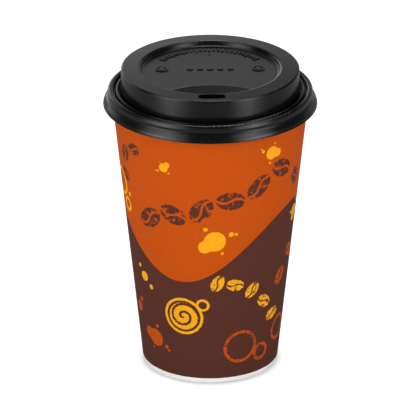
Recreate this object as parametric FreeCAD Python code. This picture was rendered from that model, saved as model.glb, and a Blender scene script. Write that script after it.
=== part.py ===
import FreeCAD, Part
import math
import os

from FreeCAD import Vector

# A single-wall paper hot cup with a push-on sipping lid.
# Lengths are in millimetres and angles in degrees. +Z is up, the origin is the centre of the
# foot on the table, and the sip hole faces -Y. The side seam of the paper is at the back.

# Paper cup
cup_height = 130.5          # table to the top of the rolled rim
foot_radius = 30.28         # outer face of the wall at the table
mouth_radius = 44.3         # outer face of the wall carried up to the rim's height
paper = 0.35                # coated board, the same for the wall and the bottom
layer_gap = 0.03            # between two layers of board that are pressed together
rim_width = 1.1             # rolled rim, from the cup's inner face to its outermost point
rim_roll_height = 2.0       # rolled rim, top to bottom
rim_roll_bend = 0.45        # bends of the roll on their inside, where the roll leaves room
rim_tuck = 0.45             # straight end of the board inside the roll
base_recess = 6.6           # table to the underside of the bottom
base_bend = 0.75            # outer bend of the bottom where it turns down
fold_length = 5.6           # height of the wall's hem, folded inward and up round the bottom
fold_bend = 0.4             # outer bend of the hem at the table
hem_room = 0.2              # under the bottom's turned-down edge, inside the hem

# Side seam: the outer layer laps over the inner one and eases back to the plain wall
seam_direction = 112.0      # from +X towards +Y, where the outer layer's cut edge lies
seam_lap_angle = 10.0
seam_ease_angle = 6.0
seam_ease_steps = 3
seam_end_thickness = 0.03   # what is left of the step where the lap meets the plain wall
seam_foot_gap = 0.9         # plain wall under the lap, at the hem's bend
seam_rim_gap = 0.4          # plain wall above the lap, under the rolled rim

# Lid: one formed sheet
film = 0.35
rest_gap = 0.05             # over the rolled rim
plug_clearance = 0.25       # between the lid's plug and the cup's inner face
bead_clearance = 0.35       # between the rolled rim and the bead round it
snap_clearance = 0.12       # between the rolled rim and the snap groove under the bead
bead_top_in = 0.15          # how far the bead's top edge lies inside its widest point
bead_face_drop = 2.1        # bead top to its widest point
snap_drop = 3.25            # bead top to the snap groove
shoulder_drop = 0.65        # snap groove to the skirt's shoulder
shoulder_step = 0.9         # snap groove to the skirt's shoulder, outward
skirt_drop = 7.2            # bead top to the skirt's lower edge
skirt_flare = 2.0           # bead's widest point to the skirt's lower edge
flare_break_height = 1.6    # skirt's lower edge to the line where its flare steepens
flare_break_in = 0.4        # how far that line lies inside the lower edge
lip_height = 0.5            # thin lip along the skirt's lower edge
lip_out = 0.2
plug_depth = 2.4            # bead top to the floor of the groove behind the rim
plug_groove = 0.85
ledge_width = 1.2
ledge_drop = 0.3            # bead top to the ledge
channel_width = 0.75
channel_depth = 3.0         # bead top to the floor of the channel at the foot of the dome
dome_rise = 9.9             # bead top to the top ring
dome_draft = 0.3            # how far the dome's side leans in
wall_draft = 0.15           # the same, for the walls of the groove and the channel
ring_width = 8.35
ring_fall = 0.3             # how far the top ring falls towards its outer edge
recess_depth = 2.2
recess_slope = 0.95         # how far the recess's wall leans

# Bends of the lid's sheet, on the inside of each bend
dome_round = 0.4
ring_round = 0.75
recess_round = 0.8
flare_round = 0.8
bead_inner_round = 0.45
bead_outer_round = 0.7
edge_round = 0.15
lip_round = 0.05
crease = 0.33

# Sip well: a dished lens between a crest and the top ring, falling towards the sip hole
well_length = 12.3          # crest to the ring's inner edge, along Y
well_arc = 34.5             # radius of the crest, seen from above
well_depth = 1.7
crest_drop = 0.25           # crest below the top ring
crest_round = 1.2
well_join = 0.6             # how far the well runs into the ring's wall

sip_length = 12.1
sip_width = 4.6
sip_setback = 0.55          # ring's inner edge to the sip hole
vent_diameter = 1.3
vent_distance = 19.5        # lid's centre to the vent, towards the back

# Plain raised marks on the lid's floor
mark_height = 0.4
tick_radius = 25.2          # middle of the arc of ticks
tick_count = 25
tick_span = 112.0
tick_width = 0.95
tick_long = 3.3
tick_short = 2.1
tick_group = 3              # every third tick is a long one
ring_mark_distance = 21.5   # lid's centre to the two ring marks, left and right
ring_mark_back = 3.0
ring_mark_radius = 2.9
ring_mark_width = 0.8
pip_radius = 1.4
pip_count = 5
pip_pitch = 4.5

bend_share = 0.48           # of a side's length that the bend at one end of it may take
overrun = 1.0               # how far a cutting shape runs past what it cuts

# Worked out from the sizes above
wall_slope = (mouth_radius - foot_radius) / cup_height
wall_angle = math.atan(wall_slope)


def wall_face(z, depth):
    """Radius at height z of the cone that lies depth inside the wall's outer face."""
    return foot_radius + wall_slope * z - depth / math.cos(wall_angle)


rim_radius = wall_face(cup_height, paper) + rim_width

bead_z = cup_height + rest_gap + film
top_z = bead_z + dome_rise
floor_z = top_z - recess_depth
ledge_z = bead_z - ledge_drop
channel_z = bead_z - channel_depth
plug_z = bead_z - plug_depth
skirt_z = bead_z - skirt_drop

snap_radius = rim_radius + snap_clearance + film
bead_radius = rim_radius + bead_clearance + film
skirt_radius = bead_radius + skirt_flare
plug_top_radius = wall_face(cup_height, paper) - plug_clearance - film
plug_foot_radius = wall_face(plug_z, paper) - plug_clearance - film
ledge_radius = plug_foot_radius - plug_groove - wall_draft
channel_radius = ledge_radius - ledge_width
dome_foot_radius = channel_radius - wall_draft - channel_width
dome_radius = dome_foot_radius - dome_draft
ring_radius = dome_radius - ring_width
recess_radius = ring_radius - recess_slope
well_centre_y = well_length - ring_radius - well_arc
sip_y = -(ring_radius + sip_setback + sip_width / 2)


def rail(path, offset):
    """Edges along a path of (radius, height, bend) corners, shifted offset to the left of it.

    A bend takes at most its share of the shorter side next to it, so two bends never meet.
    """
    points = [Vector(r, 0, z) for r, z, bend in path]
    lengths = [(b - a).Length for a, b in zip(points, points[1:])]
    headings = [(b - a).normalize() for a, b in zip(points, points[1:])]
    lefts = [Vector(-heading.z, 0, heading.x) for heading in headings]
    edges = []
    start = points[0] + lefts[0] * offset
    for i in range(1, len(points) - 1):
        before = headings[i - 1]
        after = headings[i]
        turn = math.atan2(before.x * after.z - before.z * after.x, before.dot(after))
        side = math.copysign(1.0, turn)
        longest_reach = bend_share * min(lengths[i - 1], lengths[i])
        reach = min(path[i][2] * math.tan(abs(turn) / 2), longest_reach)
        bend = reach / math.tan(abs(turn) / 2)
        centre = points[i] - before * reach + lefts[i - 1] * (side * bend)
        radius = bend - side * offset
        arc_start = centre - lefts[i - 1] * (side * radius)
        arc_end = centre - lefts[i] * (side * radius)
        half_way = centre - (lefts[i - 1] + lefts[i]).normalize() * (side * radius)
        edges.append(Part.LineSegment(start, arc_start).toShape())
        edges.append(Part.Arc(arc_start, half_way, arc_end).toShape())
        start = arc_end
    edges.append(Part.LineSegment(start, points[-1] + lefts[-1] * offset).toShape())
    return edges


def ends(edges):
    """First and last point of a rail."""
    return edges[0].Vertexes[0].Point, edges[-1].Vertexes[-1].Point


def turned(edges, angle=360.0):
    """Solid made by turning a closed outline in the XZ plane about the Z axis."""
    outline = Part.Wire(Part.__sortEdges__(edges))
    return Part.Face(outline).revolve(Vector(0, 0, 0), Vector(0, 0, 1), angle)


def sheet(path, thickness):
    """Turned sheet whose face follows the path, with its thickness to the left of the path."""
    face = rail(path, 0.0)
    back = rail(path, thickness)
    face_start, face_end = ends(face)
    back_start, back_end = ends(back)
    first_cap = Part.LineSegment(face_start, back_start).toShape()
    last_cap = Part.LineSegment(face_end, back_end).toShape()
    return turned(face + back + [first_cap, last_cap])


def filled(path, offset):
    """Everything under a path that starts on the axis, down to the height where the path ends."""
    top = rail(path, offset)
    top_start, top_end = ends(top)
    low_start = Vector(0, 0, top_end.z)
    floor = Part.LineSegment(top_end, low_start).toShape()
    axis = Part.LineSegment(low_start, top_start).toShape()
    return turned(top + [floor, axis])


# The wall: one blank with its hem folded in at the foot and its rim rolled outward
def sidewall():
    hem_face = 3 * paper + 2 * layer_gap
    roll_top = cup_height - paper
    roll_low = cup_height - rim_roll_height + paper
    roll_out = rim_radius - paper
    roll_in = wall_face(roll_low + rim_tuck, 0) + layer_gap + paper
    path = [
        (wall_face(fold_length, hem_face), fold_length, 0),
        (wall_face(0, hem_face), 0, fold_bend),
        (foot_radius, 0, fold_bend),
        (wall_face(roll_top, 0), roll_top, rim_roll_bend),
        (roll_out, roll_top, rim_roll_bend),
        (roll_out, roll_low, rim_roll_bend),
        (roll_in, roll_low, rim_roll_bend),
        (roll_in, roll_low + rim_tuck, 0),
    ]
    wall = sheet(path, paper)
    return wall.fuse(seam_lap()).removeSplitter()


def lap_outline(direction, thickness):
    """Section of the lap's outer layer at one direction, sunk into the wall to join it."""
    low = seam_foot_gap
    high = cup_height - rim_roll_height - seam_rim_gap
    sunk = paper / 2
    corners = [(low, sunk), (high, sunk), (high, -thickness), (low, -thickness)]
    points = [Vector(wall_face(z, depth), 0, z) for z, depth in corners]
    outline = Part.makePolygon(points + points[:1])
    outline.rotate(Vector(0, 0, 0), Vector(0, 0, 1), direction)
    return outline


# The seam's outer layer: the plain lap, then steps that ease it back to the wall
def seam_lap():
    lap = Part.Face(lap_outline(seam_direction, paper))
    layer = lap.revolve(Vector(0, 0, 0), Vector(0, 0, 1), -seam_lap_angle)
    outlines = []
    for step in range(seam_ease_steps + 1):
        share = step / seam_ease_steps
        direction = seam_direction - seam_lap_angle - seam_ease_angle * share
        outlines.append(lap_outline(direction, paper + (seam_end_thickness - paper) * share))
    for first, second in zip(outlines, outlines[1:]):
        layer = layer.fuse(Part.makeLoft([first, second], True, True))
    return layer


# The bottom: a disc with its edge turned down into the hem
def bottom_disc():
    skirt_face = paper + layer_gap
    top = base_recess + paper
    low = paper + hem_room
    path = [
        (0, top, 0),
        (wall_face(top, skirt_face), top, base_bend),
        (wall_face(low, skirt_face), low, 0),
    ]
    return sheet(path, -paper)


# The lid's upper face, from the axis out and down to the height low_z
def lid_path(low_z):
    edge = film + edge_round
    shoulder_z = bead_z - snap_drop - shoulder_drop
    lip_z = skirt_z + lip_height
    return [
        (0, floor_z, 0),
        (recess_radius, floor_z, recess_round),
        (ring_radius, top_z, film + ring_round),
        (dome_radius, top_z - ring_fall, film + dome_round),
        (dome_foot_radius, channel_z, crease),
        (channel_radius - wall_draft, channel_z, crease),
        (channel_radius, ledge_z, edge),
        (ledge_radius, ledge_z, edge),
        (ledge_radius + wall_draft, plug_z, crease),
        (plug_foot_radius, plug_z, crease),
        (plug_top_radius, bead_z, film + bead_inner_round),
        (bead_radius - bead_top_in, bead_z, film + bead_outer_round),
        (bead_radius, bead_z - bead_face_drop, film + bead_outer_round),
        (snap_radius, bead_z - snap_drop, crease),
        (snap_radius + shoulder_step, shoulder_z, edge),
        (skirt_radius - flare_break_in, skirt_z + flare_break_height, film + flare_round),
        (skirt_radius - lip_out, lip_z, crease),
        (skirt_radius, lip_z - lip_out, film + lip_round),
        (skirt_radius, low_z, 0),
    ]


# The dished lens behind the sip hole, turned about the crest's own centre
def well_body(offset, reach):
    crest = well_arc + offset
    crest_z = top_z - crest_drop + offset
    fall = well_depth / well_length
    path = [
        (0, crest_z - fall * crest, 0),
        (crest, crest_z, crest_round + offset),
        (crest, skirt_z, 0),
    ]
    lens = filled(path, 0.0)
    lens.translate(Vector(0, well_centre_y, 0))
    bound = Part.makeCylinder(reach, top_z - skirt_z + overrun, Vector(0, 0, skirt_z))
    return lens.common(bound)


# Stadium-shaped cutter for the sip hole
def sip_hole():
    half_run = (sip_length - sip_width) / 2
    radius = sip_width / 2
    low = floor_z - film - overrun
    left = Vector(-half_run, sip_y, low)
    right = Vector(half_run, sip_y, low)
    up = Vector(0, radius, 0)
    side = Vector(radius, 0, 0)
    outline = Part.Wire([
        Part.LineSegment(left + up, right + up).toShape(),
        Part.Arc(right + up, right + side, right - up).toShape(),
        Part.LineSegment(right - up, left - up).toShape(),
        Part.Arc(left - up, left - side, left + up).toShape(),
    ])
    return Part.Face(outline).extrude(Vector(0, 0, top_z - low + overrun))


def raised(radius, x, y):
    """Round raised mark on the lid's floor, rooted in the sheet."""
    root = film / 2
    return Part.makeCylinder(radius, mark_height + root, Vector(x, y, floor_z - root))


# Plain marks: an arc of ticks at the back, a ring on each side and a row of pips
def floor_marks():
    root = film / 2
    marks = []
    for i in range(tick_count):
        length = tick_long if i % tick_group == 0 else tick_short
        corner = Vector(tick_radius - length / 2, -tick_width / 2, floor_z - root)
        tick = Part.makeBox(length, tick_width, mark_height + root, corner)
        direction = 90 + tick_span * (i / (tick_count - 1) - 0.5)
        tick.rotate(Vector(0, 0, 0), Vector(0, 0, 1), direction)
        marks.append(tick)
    for side in (-1, 1):
        x = side * ring_mark_distance
        disc = raised(ring_mark_radius, x, ring_mark_back)
        hollow = Part.makeCylinder(ring_mark_radius - ring_mark_width, top_z, Vector(x, ring_mark_back, 0))
        marks.append(disc.cut(hollow))
        marks.append(raised(pip_radius, x, ring_mark_back))
    for i in range(pip_count):
        marks.append(raised(pip_radius, pip_pitch * (i - (pip_count - 1) / 2), ring_mark_back))
    return marks


def lid():
    outside = filled(lid_path(skirt_z), 0.0)
    inside = filled(lid_path(skirt_z - overrun), -film)
    outside = outside.fuse(well_body(0.0, ring_radius + well_join))
    inside = inside.fuse(well_body(-film, ring_radius + film + well_join))
    shell = outside.cut(inside)
    vent = Part.makeCylinder(vent_diameter / 2, 2 * film, Vector(0, vent_distance, floor_z - 1.5 * film))
    return shell.fuse(floor_marks()).cut([sip_hole(), vent]).removeSplitter()


os.makedirs("parts", exist_ok=True)
nodes = {"sidewall": sidewall(), "bottom_disc": bottom_disc(), "lid": lid()}
for name, shape in nodes.items():
    solid = shape.Solids[0]
    box = solid.BoundBox
    print(name, len(shape.Solids), "solid", round(solid.Volume, 1), "mm3, valid", solid.isValid(),
          "z", round(box.ZMin, 3), round(box.ZMax, 3), "r", round(box.XMax, 3))
    solid.exportStep("parts/" + name + ".step")
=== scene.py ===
import math

import bpy
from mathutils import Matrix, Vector

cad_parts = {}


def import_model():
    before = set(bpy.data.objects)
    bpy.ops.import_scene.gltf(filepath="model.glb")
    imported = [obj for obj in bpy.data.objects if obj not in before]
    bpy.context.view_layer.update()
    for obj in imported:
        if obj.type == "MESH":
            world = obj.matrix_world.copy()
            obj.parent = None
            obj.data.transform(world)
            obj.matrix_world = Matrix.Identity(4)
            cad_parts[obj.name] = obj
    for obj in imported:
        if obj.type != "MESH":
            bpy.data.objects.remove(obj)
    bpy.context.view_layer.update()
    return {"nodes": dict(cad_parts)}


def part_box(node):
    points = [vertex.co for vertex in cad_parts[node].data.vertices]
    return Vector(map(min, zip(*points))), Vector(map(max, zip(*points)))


# A printed paper coffee cup with a black sipping lid, on a white table in soft studio light.
# Lengths are in metres and colours are linear. The cup's front faces -Y and the seam is at the back.
# An azimuth is measured round the cup's axis from the front, and +90 degrees is at +X.

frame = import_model()
MM = 0.001

# Camera: the photograph's viewing angle, through a long lens
IMAGE_WIDTH = 420                   # pixels, and as many high
SENSOR_WIDTH = 36.0                 # millimetres
FOCAL_PIXELS = 6684.0
CAMERA_DISTANCE = 3.0
CAMERA_ELEVATION = math.radians(23.40)
CAMERA_AZIMUTH = math.radians(-1.2)
CAMERA_TARGET = Vector((-0.00011, 0.0, 0.07145))
CAMERA_REACH = 20.0                 # how far the camera sees

# Printed wall
CUP_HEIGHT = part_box("sidewall")[1].z
FOOT_RADIUS = 30.28 * MM
WALL_SLOPE = 0.10743                # how fast the wall's radius grows with height
PAPER = 0.35 * MM
FOOT_BAND = 2.3 * MM                # unprinted board at the foot
RIM_ROLL = 2.0 * MM                 # height of the rolled rim, where the board's white side is out
SEAM_AZIMUTH = math.radians(-158.0)
SEAM_EDGE = 0.08 * MM               # half the width of the white cut edge at the seam

# Colours
ORANGE = (0.565, 0.0830, 0.0045)
BROWN = (0.101, 0.0326, 0.0222)
AMBER = (0.98, 0.42, 0.012)
BOARD = (0.98, 0.975, 0.96)
PLASTIC = (0.0023, 0.0024, 0.0024)
BOARD_DARK = 0.96                   # tones of the plain board and of the plastic, as shares of these
PLASTIC_DARK = 0.85
PLASTIC_LIGHT = 1.2

# Gloss
PAPER_IOR = 1.45
PLASTIC_IOR = 1.5
PRINT_SPECULAR = 0.07
BOARD_SPECULAR = 0.3
PLASTIC_SPECULAR = 0.5
PRINT_ROUGHNESS = (0.50, 0.14)      # lowest, and how much the noise adds
BOARD_ROUGHNESS = 0.55
PLASTIC_ROUGHNESS = (0.19, 0.06)

# Noises: lumps to a metre, detail, roughness
INK_EDGE_NOISE = (1300.0, 3.0, 0.6)
INK_WEAR_NOISE = (520.0, 5.0, 0.72)
MOTTLE_NOISE = (1200.0, 3.0, 0.6)
BLOTCH_NOISE = (160.0, 2.0, 0.5)
BAND_NOISE = (300.0, 2.0, 0.5)
SHEEN_NOISE = (700.0, 3.0, 0.5)
FIBRE_NOISE = (2200.0, 4.0, 0.6)
BOARD_NOISE = (900.0, 3.0, 0.5)
PLASTIC_NOISE = (400.0, 3.0, 0.5)
SHEET_NOISE = (1500.0, 2.0, 0.5)
NOISE_MIDDLE = 0.5                  # the value that each of them varies about

# Bump
BUMP_DEPTH = 0.02 * MM
FIBRE_BUMP = 0.25
SHEET_BUMP = 0.05

# How the ink lies
INK_SOFTNESS = 0.12 * MM            # of every outline in the print
INK_RAGGED = 0.7 * MM               # swing of a ragged outline
WEAR_LEVEL = 0.435                  # where the noise is under this, a worn motif has no ink
WEAR_SOFTNESS = 0.03
MOTTLE = 0.38
BLOTCH = 0.06
CUT_SOFTNESS = 0.02 * MM            # where the printed side of the board ends
BAND_SWING = 0.2 * MM
BAND_SOFTNESS = 0.08 * MM

# Border between the two fields of colour: a wave that comes twice round the cup
WAVES_ROUND = 2.0
WAVE_TURN = math.radians(58.0)
BORDER_HEIGHT = 67.0 * MM
BORDER_SWING = 15.5 * MM
BORDER_SKEW = -3.5 * MM


class Field:
    """A shader value that arithmetic can be written with."""

    def __init__(self, tree, socket):
        self.tree = tree
        self.socket = socket

    def calc(self, operation, *others):
        node = self.tree.nodes.new("ShaderNodeMath")
        node.operation = operation
        for place, value in enumerate((self,) + others):
            if isinstance(value, Field):
                self.tree.links.new(value.socket, node.inputs[place])
            else:
                node.inputs[place].default_value = value
        return Field(self.tree, node.outputs[0])

    def __add__(self, other):
        return self.calc("ADD", other)

    def __sub__(self, other):
        return self.calc("SUBTRACT", other)

    def __rsub__(self, other):
        node = self.tree.nodes.new("ShaderNodeValue")
        node.outputs[0].default_value = other
        return Field(self.tree, node.outputs[0]).calc("SUBTRACT", self)

    def __mul__(self, other):
        return self.calc("MULTIPLY", other)

    def __truediv__(self, other):
        return self.calc("DIVIDE", other)

    def sin(self):
        return self.calc("SINE")

    def cos(self):
        return self.calc("COSINE")

    def abs(self):
        return self.calc("ABSOLUTE")

    def root(self):
        return self.calc("SQRT")

    def squared(self):
        return self.calc("POWER", 2.0)

    def least(self, other):
        return self.calc("MINIMUM", other)

    def most(self, other):
        return self.calc("MAXIMUM", other)

    def wrap(self, high, low):
        return self.calc("WRAP", high, low)

    def step(self, softness):
        """1 where the value is over 0 and 0 where it is under, with an edge this soft."""
        node = self.tree.nodes.new("ShaderNodeMapRange")
        node.inputs["From Min"].default_value = -softness / 2
        node.inputs["From Max"].default_value = softness / 2
        self.tree.links.new(self.socket, node.inputs["Value"])
        return Field(self.tree, node.outputs["Result"])


def length_of(across, up):
    return (across * across + up * up).root()


def coordinates(tree, space):
    """X, Y and Z of a shader's object or world coordinates."""
    place = tree.nodes.new("ShaderNodeTexCoord").outputs[space]
    split = tree.nodes.new("ShaderNodeSeparateXYZ")
    tree.links.new(place, split.inputs[0])
    return [Field(tree, split.outputs[axis]) for axis in "XYZ"]


def noise(tree, vector, kind):
    """Noise from 0 to 1, of a kind from the list above."""
    node = tree.nodes.new("ShaderNodeTexNoise")
    for socket, value in zip(("Scale", "Detail", "Roughness"), kind):
        node.inputs[socket].default_value = value
    tree.links.new(vector, node.inputs["Vector"])
    return Field(tree, node.outputs["Fac"])


def swing(tree, vector, kind, amount):
    """The same noise about 0, this large."""
    return (noise(tree, vector, kind) - NOISE_MIDDLE) * amount


def mix_colour(tree, amount, first, second):
    node = tree.nodes.new("ShaderNodeMix")
    node.data_type = "RGBA"
    tree.links.new(amount.socket, node.inputs["Factor"])
    for socket, colour in ((node.inputs["A"], first), (node.inputs["B"], second)):
        if isinstance(colour, tuple):
            socket.default_value = colour + (1.0,)
        else:
            tree.links.new(colour, socket)
    return node.outputs["Result"]


def shade(colour, factor):
    return tuple(channel * factor for channel in colour)


def new_material(name, specular, ior):
    material = bpy.data.materials.new(name)
    material.use_nodes = True
    tree = material.node_tree
    shader = tree.nodes["Principled BSDF"]
    shader.inputs["Specular IOR Level"].default_value = specular
    shader.inputs["IOR"].default_value = ior
    place = tree.nodes.new("ShaderNodeTexCoord").outputs["Object"]
    return material, tree, shader, place


def bump(tree, shader, height, strength):
    node = tree.nodes.new("ShaderNodeBump")
    node.inputs["Strength"].default_value = strength
    node.inputs["Distance"].default_value = BUMP_DEPTH
    tree.links.new(height.socket, node.inputs["Height"])
    tree.links.new(node.outputs["Normal"], shader.inputs["Normal"])


# Motifs of the print. Each is a value over 0 inside the motif, in metres from its outline, at a
# point (across, up) measured from the motif's own middle.
RING_LINE = 1.5 * MM


def disc(across, up, radius):
    return radius - length_of(across, up)


def circle(across, up, radius, line):
    return line / 2 - (length_of(across, up) - radius).abs()


def ring(across, up, radius):
    return circle(across, up, radius, RING_LINE)


# A coffee bean: an ellipse with a winding crease along it. The numbers are shares of its half length
# and of its half breadth.
BEAN_BREADTH = 0.66
CREASE_SWAY = 0.28
CREASE_HALF = 0.13


def bean(across, up, length):
    half = length / 2
    breadth = half * BEAN_BREADTH
    body = (1.0 - ((across / half).squared() + (up / breadth).squared()).root()) * breadth
    middle = (across * (math.pi / half)).sin() * (breadth * CREASE_SWAY)
    crease = (up - middle).abs() - breadth * CREASE_HALF
    return body.least(crease)


# A cup of coffee seen from above: rim, swirled coffee, a handle. The numbers are shares of its radius.
SWIRL_PITCH = 0.42
SWIRL_FILL = 0.55                   # from -1, all bare, to 1, all coffee
SWIRL_SLOPE = 0.05
COFFEE_RADIUS = 0.74
RIM_RADIUS = 0.93
RIM_LINE = 0.14
HANDLE_PLACE = 1.22
HANDLE_RADIUS = 0.27
HANDLE_LINE = 0.13
HANDLE_START = 0.9


def cup_from_above(across, up, radius):
    reach = length_of(across, up)
    swirl = (up.calc("ARCTAN2", across) + reach * (2 * math.pi / (radius * SWIRL_PITCH))).sin()
    coffee = (radius * COFFEE_RADIUS - reach).least((swirl + SWIRL_FILL) * (radius * SWIRL_SLOPE))
    rim = circle(across, up, radius * RIM_RADIUS, radius * RIM_LINE)
    handle = circle(across - radius * HANDLE_PLACE, up, radius * HANDLE_RADIUS, radius * HANDLE_LINE)
    outside = reach - radius * HANDLE_START
    return coffee.most(rim).most(handle.least(outside))


# A drop that has splashed: a large blob grown together with a smaller one, and stray droplets. Each
# is its middle, to the side and up, and its radius, as shares of the large blob's radius.
LOBE = (-1.05, -0.35, 0.62)
LOBE_BLEND = 0.5
DROPLETS = [(1.62, 0.28, 0.24), (2.06, 0.12, 0.15), (-0.55, 1.42, 0.21), (0.35, -1.38, 0.14)]


def splash(across, up, radius):
    def blob(side, level, size):
        return disc(across - radius * side, up - radius * level, radius * size)

    whole = disc(across, up, radius).calc("SMOOTH_MAX", blob(*LOBE), radius * LOBE_BLEND)
    for droplet in DROPLETS:
        whole = whole.most(blob(*droplet))
    return whole


# Layout of the print: motif, azimuth in degrees, height in mm, size in mm, turn in degrees. The size
# is a bean's length and any other motif's radius. Everything comes twice round the cup, half a turn
# apart. A worn motif has small patches where the ink hasn't taken.
WORN_BROWN = [
    (bean, -45, 80.0, 13.5, 34), (bean, -26, 84.5, 13.5, -20), (bean, -7, 88.0, 13.5, 50),
    (bean, 12, 92.5, 13.5, -6), (bean, 31, 97.5, 13.5, 40), (bean, 49, 103.5, 13.0, -24),
    (bean, -66, 107.0, 9.5, 66), (bean, -55, 111.5, 8.5, 8), (bean, -69, 96.0, 8.0, -30),
    (bean, 67, 95.0, 10.0, -58),
]
WORN_ORANGE = [
    (ring, 24, 17.5, 7.4, 0), (ring, 44, 12.2, 3.6, 0), (ring, 67, 20.0, 5.6, 0),
    (bean, 60, 47.0, 9.5, 52), (bean, 73, 57.0, 9.5, -24),
]
WORN_AMBER = [
    (bean, 4, 51.0, 8.6, 64), (bean, 17, 49.5, 8.6, -14), (bean, 31, 45.5, 8.6, 50),
    (bean, 43, 38.0, 8.6, -34), (bean, 54, 29.5, 8.6, 16),
]
SOLID_ORANGE = [
    (splash, -50, 18.5, 4.2, -35), (disc, -71, 30.0, 2.6, 0), (disc, -66, 34.5, 1.2, 0),
]
SOLID_AMBER = [
    (splash, 2, 72.5, 4.9, 14), (splash, 39, 113.0, 3.2, 150), (splash, -31, 107.5, 2.2, 205),
    (ring, -79, 90.0, 6.0, 0), (ring, -71, 80.5, 2.8, 0), (disc, -66, 86.5, 1.1, 0),
    (cup_from_above, -22, 33.5, 9.2, 35), (disc, -57, 48.0, 2.4, 0), (disc, -50, 44.0, 1.2, 0),
    (disc, -62, 52.5, 1.0, 0), (splash, 74, 76.0, 3.0, 60),
]

# Each list with its ink, and whether it is worn. A later one is printed over an earlier one.
LAYERS = [
    (WORN_BROWN, BROWN, True), (WORN_ORANGE, ORANGE, True), (WORN_AMBER, AMBER, True),
    (SOLID_ORANGE, ORANGE, False), (SOLID_AMBER, AMBER, False),
]


def layer(motifs, azimuth, height, radius):
    """All motifs of one list as a single value."""
    whole = None
    for motif, centre, level, size, turn in motifs:
        around = (azimuth - math.radians(centre)).wrap(math.pi / 2, -math.pi / 2) * radius
        above = height - level * MM
        cosine = math.cos(math.radians(turn))
        sine = math.sin(math.radians(turn))
        across = around * cosine + above * sine
        up = above * cosine - around * sine
        shape = motif(across, up, size * MM)
        whole = shape if whole is None else whole.most(shape)
    return whole


# Printed board: everything is laid out on the wall as azimuth and height
def print_material():
    material, tree, shader, place = new_material("printed_board", PRINT_SPECULAR, PAPER_IOR)
    x, y, z = coordinates(tree, "Object")
    radius = length_of(x, y)
    azimuth = x.calc("ARCTAN2", y * -1.0)

    wave = azimuth * WAVES_ROUND + WAVE_TURN
    border = BORDER_HEIGHT - wave.cos() * BORDER_SWING + wave.sin() * BORDER_SKEW
    upper = (z - border).step(INK_SOFTNESS)
    colour = mix_colour(tree, upper, BROWN, ORANGE)

    ragged = swing(tree, place, INK_EDGE_NOISE, INK_RAGGED)
    taken = (noise(tree, place, INK_WEAR_NOISE) - WEAR_LEVEL).step(WEAR_SOFTNESS)
    for motifs, ink, worn in LAYERS:
        mask = (layer(motifs, azimuth, z, radius) + ragged).step(INK_SOFTNESS)
        if worn:
            mask = mask * taken
        colour = mix_colour(tree, mask, colour, ink)

    # Slight mottle of ink on board
    mottle = swing(tree, place, MOTTLE_NOISE, MOTTLE) + swing(tree, place, BLOTCH_NOISE, BLOTCH)
    tint = tree.nodes.new("ShaderNodeHueSaturation")
    tree.links.new((mottle + 1.0).socket, tint.inputs["Value"])
    tree.links.new(colour, tint.inputs["Color"])

    # The print is on the outer face only, between the foot band and the rolled rim, and not on the
    # seam's cut edge
    mid_wall = z * WALL_SLOPE + (FOOT_RADIUS - PAPER / 2)
    outer = (radius - mid_wall).step(CUT_SOFTNESS)
    below_roll = ((CUP_HEIGHT - RIM_ROLL) - z).step(CUT_SOFTNESS)
    above_band = (z - FOOT_BAND + swing(tree, place, BAND_NOISE, BAND_SWING)).step(BAND_SOFTNESS)
    off_seam = ((azimuth - SEAM_AZIMUTH).abs() * radius - SEAM_EDGE).step(CUT_SOFTNESS)
    printed = outer * below_roll * above_band * off_seam
    colour = mix_colour(tree, printed, BOARD, tint.outputs["Color"])
    tree.links.new(colour, shader.inputs["Base Color"])

    lowest, added = PRINT_ROUGHNESS
    roughness = noise(tree, place, SHEEN_NOISE) * added + lowest
    tree.links.new(roughness.socket, shader.inputs["Roughness"])
    bump(tree, shader, noise(tree, place, FIBRE_NOISE), FIBRE_BUMP)
    return material


def board_material():
    material, tree, shader, place = new_material("plain_board", BOARD_SPECULAR, PAPER_IOR)
    shader.inputs["Roughness"].default_value = BOARD_ROUGHNESS
    colour = mix_colour(tree, noise(tree, place, BOARD_NOISE), BOARD, shade(BOARD, BOARD_DARK))
    tree.links.new(colour, shader.inputs["Base Color"])
    bump(tree, shader, noise(tree, place, FIBRE_NOISE), FIBRE_BUMP)
    return material


def lid_material():
    material, tree, shader, place = new_material("lid_plastic", PLASTIC_SPECULAR, PLASTIC_IOR)
    tone = noise(tree, place, PLASTIC_NOISE)
    colour = mix_colour(tree, tone, shade(PLASTIC, PLASTIC_DARK), shade(PLASTIC, PLASTIC_LIGHT))
    tree.links.new(colour, shader.inputs["Base Color"])
    lowest, added = PLASTIC_ROUGHNESS
    roughness = tone * added + lowest
    tree.links.new(roughness.socket, shader.inputs["Roughness"])
    bump(tree, shader, noise(tree, place, SHEET_NOISE), SHEET_BUMP)
    return material


def dress(node, material):
    for slot in frame["nodes"][node].material_slots:
        slot.link = "OBJECT"
        slot.material = material


dress("sidewall", print_material())
dress("bottom_disc", board_material())
dress("lid", lid_material())


# Table: grey to the light, with a glow to the camera that makes it white. The glow is weaker in a ring
# next to the cup: a painted shadow round the foot, where the cup's own shadow also shows.
FLOOR_HALF = 3.0
FLOOR_SHADE = 0.30
GLOW_IN_PAINTED_SHADOW = 0.40
GLOW_FAR = 0.92
PAINTED_SHADOW_RADIUS = 32.8 * MM               # radius of the painted shadow ring, where the one glow gives way to the other
PAINTED_SHADOW_SOFTNESS = 5.0 * MM
PAINTED_SHADOW_SHIFT = 1.2 * MM               # how far that ring lies to the front


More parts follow.
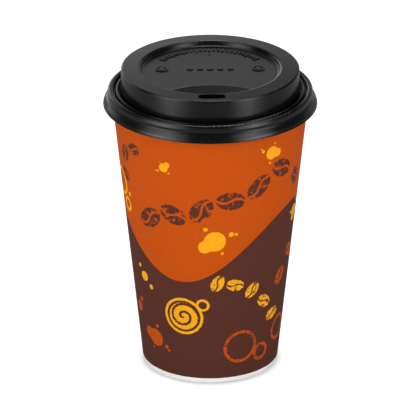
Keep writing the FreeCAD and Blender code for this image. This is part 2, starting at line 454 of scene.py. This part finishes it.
def table():
    mesh = bpy.data.meshes.new("table")
    corners = [(-FLOOR_HALF, -FLOOR_HALF, 0), (FLOOR_HALF, -FLOOR_HALF, 0),
               (FLOOR_HALF, FLOOR_HALF, 0), (-FLOOR_HALF, FLOOR_HALF, 0)]
    mesh.from_pydata(corners, [], [(0, 1, 2, 3)])
    floor = bpy.data.objects.new("table", mesh)
    bpy.context.scene.collection.objects.link(floor)
    material = bpy.data.materials.new("table")
    material.use_nodes = True
    tree = material.node_tree
    tree.nodes.clear()
    output = tree.nodes.new("ShaderNodeOutputMaterial")
    pale = tree.nodes.new("ShaderNodeBsdfDiffuse")
    pale.inputs["Color"].default_value = (FLOOR_SHADE, FLOOR_SHADE, FLOOR_SHADE, 1)
    glow = tree.nodes.new("ShaderNodeEmission")
    seen = Field(tree, tree.nodes.new("ShaderNodeLightPath").outputs["Is Camera Ray"])
    x, y = coordinates(tree, "Object")[:2]
    # painted shadow: the glow to the camera drops in a ring round the foot, shifted to the front
    outside_painted_shadow = (length_of(x, y + PAINTED_SHADOW_SHIFT) - PAINTED_SHADOW_RADIUS).step(PAINTED_SHADOW_SOFTNESS).root()
    strength = (outside_painted_shadow * (GLOW_FAR - GLOW_IN_PAINTED_SHADOW) + GLOW_IN_PAINTED_SHADOW) * seen
    tree.links.new(strength.socket, glow.inputs["Strength"])
    both = tree.nodes.new("ShaderNodeAddShader")
    tree.links.new(pale.outputs[0], both.inputs[0])
    tree.links.new(glow.outputs[0], both.inputs[1])
    tree.links.new(both.outputs[0], output.inputs["Surface"])
    mesh.materials.append(material)


# Studio: even fill for the light, and white to the camera. Reflections see a backdrop behind the cup
# that darkens with height and towards +X, and a dim room in front.
FILL = 0.48
ROOM = 0.05
BACKDROP_BASE = 0.03                # brightness high up
BACKDROP_FOOT = 1.95                # how much brighter it is at the table
BACKDROP_FADE = 0.225               # height over which that fades
BACKDROP_MOST = 0.9
BACKDROP_MIDDLE = 1.08              # factor straight behind, its change towards +X and its limits
BACKDROP_LEAN = -7.0
BACKDROP_LEFT = 1.6
BACKDROP_RIGHT = 0.55
BACKDROP_START = 0.6                # how far back the room gives way to it, and over what depth
BACKDROP_SOFTNESS = 0.5


def world():
    settings = bpy.data.worlds.new("studio")
    bpy.context.scene.world = settings
    settings.use_nodes = True
    tree = settings.node_tree
    sky = tree.nodes["Background"]
    sky.inputs["Color"].default_value = (1, 1, 1, 1)
    path = tree.nodes.new("ShaderNodeLightPath")
    to_camera = Field(tree, path.outputs["Is Camera Ray"])
    glossy = Field(tree, path.outputs["Is Glossy Ray"])
    sideways, behind, height = coordinates(tree, "Generated")
    fade = (height.most(0.0) * (-1.0 / BACKDROP_FADE)).calc("EXPONENT")
    fall = (fade * BACKDROP_FOOT + BACKDROP_BASE).least(BACKDROP_MOST)
    lean = (sideways * BACKDROP_LEAN + BACKDROP_MIDDLE).least(BACKDROP_LEFT).most(BACKDROP_RIGHT)
    share = (behind - BACKDROP_START).step(BACKDROP_SOFTNESS)
    mirrored = (fall * lean - ROOM) * share + ROOM
    lit = (mirrored - FILL) * glossy + FILL
    strength = (1.0 - to_camera) * lit + to_camera
    tree.links.new(strength.socket, sky.inputs["Strength"])


# Lamps: name, azimuth in degrees, distance from the axis, height, width and length, radiance, and the
# height on the axis that the lamp faces
GRADED_BOXES = [
    ("left_low", -51.0, 0.36, 0.085, (0.22, 0.11), 3.6, 0.085),
    ("left_box", -51.0, 0.36, 0.270, (0.22, 0.26), 2.3, 0.270),
    ("right_low", 45.0, 0.36, 0.085, (0.18, 0.11), 4.0, 0.085),
    ("right_box", 45.0, 0.36, 0.270, (0.18, 0.26), 2.5, 0.270),
]
PLAIN_BOXES = [
    ("left_high", -48.0, 0.42, 0.52, (0.16, 0.16), 1.3, 0.10),
    ("right_high", 45.0, 0.42, 0.52, (0.16, 0.16), 1.5, 0.10),
    ("left_top", -90.0, 0.42, 0.95, (0.60, 0.22), 2.2, 0.07),
    ("right_top", 90.0, 0.42, 0.95, (0.60, 0.22), 2.2, 0.07),
    ("back_top", 180.0, 0.40, 1.05, (0.34, 0.34), 7.0, 0.07),
]
FILLS = [                           # these don't show in reflections
    ("front_fill", -8.0, 1.5, 0.55, (0.8, 0.8), 1.95, 0.07),
    ("back_fill", 172.0, 1.5, 0.55, (0.8, 0.8), 1.0, 0.07),
]
GRADED_WIDTHS = (0.45, 1.0, 1.55)
GRADED_GAP = 5.0 * MM


def softbox(name, azimuth, away, height, size, radiance, aim, mirrored=True):
    width, length = size
    lamp = bpy.data.lights.new(name, "AREA")
    lamp.shape = "RECTANGLE"
    lamp.size = width
    lamp.size_y = length
    lamp.energy = math.pi * width * length * radiance
    holder = bpy.data.objects.new(name, lamp)
    turn = math.radians(azimuth)
    holder.location = (math.sin(turn) * away, -math.cos(turn) * away, height)
    facing = Vector((0, 0, aim)) - holder.location
    holder.rotation_euler = facing.to_track_quat("-Z", "Y").to_euler()
    holder.visible_camera = False
    holder.visible_glossy = mirrored
    bpy.context.scene.collection.objects.link(holder)


def graded_box(name, azimuth, away, height, size, radiance, aim):
    """A box brightest along its middle: lamps of several widths, each a little behind the last."""
    width, length = size
    for number, share in enumerate(GRADED_WIDTHS):
        softbox(f"{name}_{number}", azimuth, away + number * GRADED_GAP, height,
                (width * share, length), radiance / len(GRADED_WIDTHS), aim)


def lamps():
    for box in GRADED_BOXES:
        graded_box(*box)
    for box in PLAIN_BOXES:
        softbox(*box)
    for box in FILLS:
        softbox(*box, mirrored=False)


def camera():
    data = bpy.data.cameras.new("camera")
    data.sensor_width = SENSOR_WIDTH
    data.lens = SENSOR_WIDTH * FOCAL_PIXELS / IMAGE_WIDTH
    data.clip_end = CAMERA_REACH
    holder = bpy.data.objects.new("camera", data)
    flat = math.cos(CAMERA_ELEVATION)
    away = Vector((math.sin(CAMERA_AZIMUTH) * flat, -math.cos(CAMERA_AZIMUTH) * flat,
                   math.sin(CAMERA_ELEVATION)))
    holder.location = CAMERA_TARGET + CAMERA_DISTANCE * away
    holder.rotation_euler = (-away).to_track_quat("-Z", "Y").to_euler()
    bpy.context.scene.collection.objects.link(holder)
    bpy.context.scene.camera = holder


table()
world()
lamps()
camera()
bpy.context.scene.view_settings.view_transform = "Standard"
